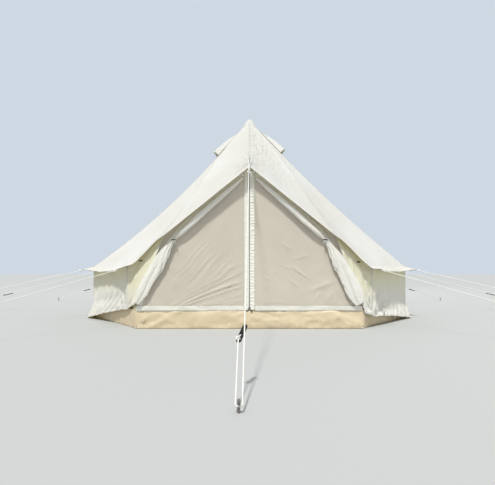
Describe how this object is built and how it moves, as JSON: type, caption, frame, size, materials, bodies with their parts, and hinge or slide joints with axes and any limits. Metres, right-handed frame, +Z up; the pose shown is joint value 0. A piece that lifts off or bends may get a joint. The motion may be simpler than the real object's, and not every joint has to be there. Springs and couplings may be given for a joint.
{
  "type": "bell tent",
  "caption": "Round cotton canvas bell tent on a centre pole, with low side walls, a scalloped eave, rolled door flaps over a closed mesh door, vent hoods and guy ropes.",
  "frame": {"origin": "on the ground under the centre pole", "axes": "+Z up; -Y out through the door; +X to the right when facing the door from outside"},
  "size_m": [8.5492, 8.8554, 2.52],
  "materials": {
    "canvas": "matte cream cotton canvas with sewn seams",
    "door_mesh": "fine matte beige netting",
    "vent_mesh": "dark matte netting",
    "groundsheet": "coated tan sheeting with a dull sheen",
    "pole": "galvanised tube",
    "pole_joint": "galvanised bent joint and spike",
    "pole_foot": "moulded rubber foot",
    "zip_tape": "off-white puckered zip tape",
    "cord": "white braided cord",
    "rope": "off-white laid rope",
    "toggle": "dark turned toggle",
    "slider": "black moulded rope runner",
    "peg": "dark weathered rod",
    "small_peg": "galvanised wire"
  },
  "bodies": {
    "root": {"roof_door_left": "canvas", "roof_door_right": "canvas", "roof_left_1": "canvas", "roof_left_2": "canvas", "roof_left_3": "canvas", "roof_left_4": "canvas", "roof_left_5": "canvas", "roof_right_1": "canvas", "roof_right_2": "canvas", "roof_right_3": "canvas", "roof_right_4": "canvas", "roof_right_5": "canvas", "wall_left_1": "canvas", "wall_left_2": "canvas", "wall_left_3": "canvas", "wall_left_4": "canvas", "wall_left_5": "canvas", "wall_right_1": "canvas", "wall_right_2": "canvas", "wall_right_3": "canvas", "wall_right_4": "canvas", "wall_right_5": "canvas", "apex_cap": "canvas", "vent_hood_left": "canvas", "vent_hood_right": "canvas", "vent_mesh": "vent_mesh", "groundsheet_floor": "groundsheet", "groundsheet_rim": "groundsheet", "centre_pole_foot": "pole_foot", "centre_pole_lower": "pole", "centre_pole_upper": "pole", "door_pole_left": "pole", "door_pole_right": "pole", "door_pole_joint": "pole_joint", "mesh_door_left": "door_mesh", "mesh_door_right": "door_mesh", "door_zip": "zip_tape", "door_flap_left": "canvas", "door_flap_right": "canvas", "flap_ties": "cord", "toggles": "toggle", "guy_ropes": "rope", "guy_sliders": "slider", "guy_pegs": "peg", "wall_pegs": "small_peg"}
  },
  "joints": []
}
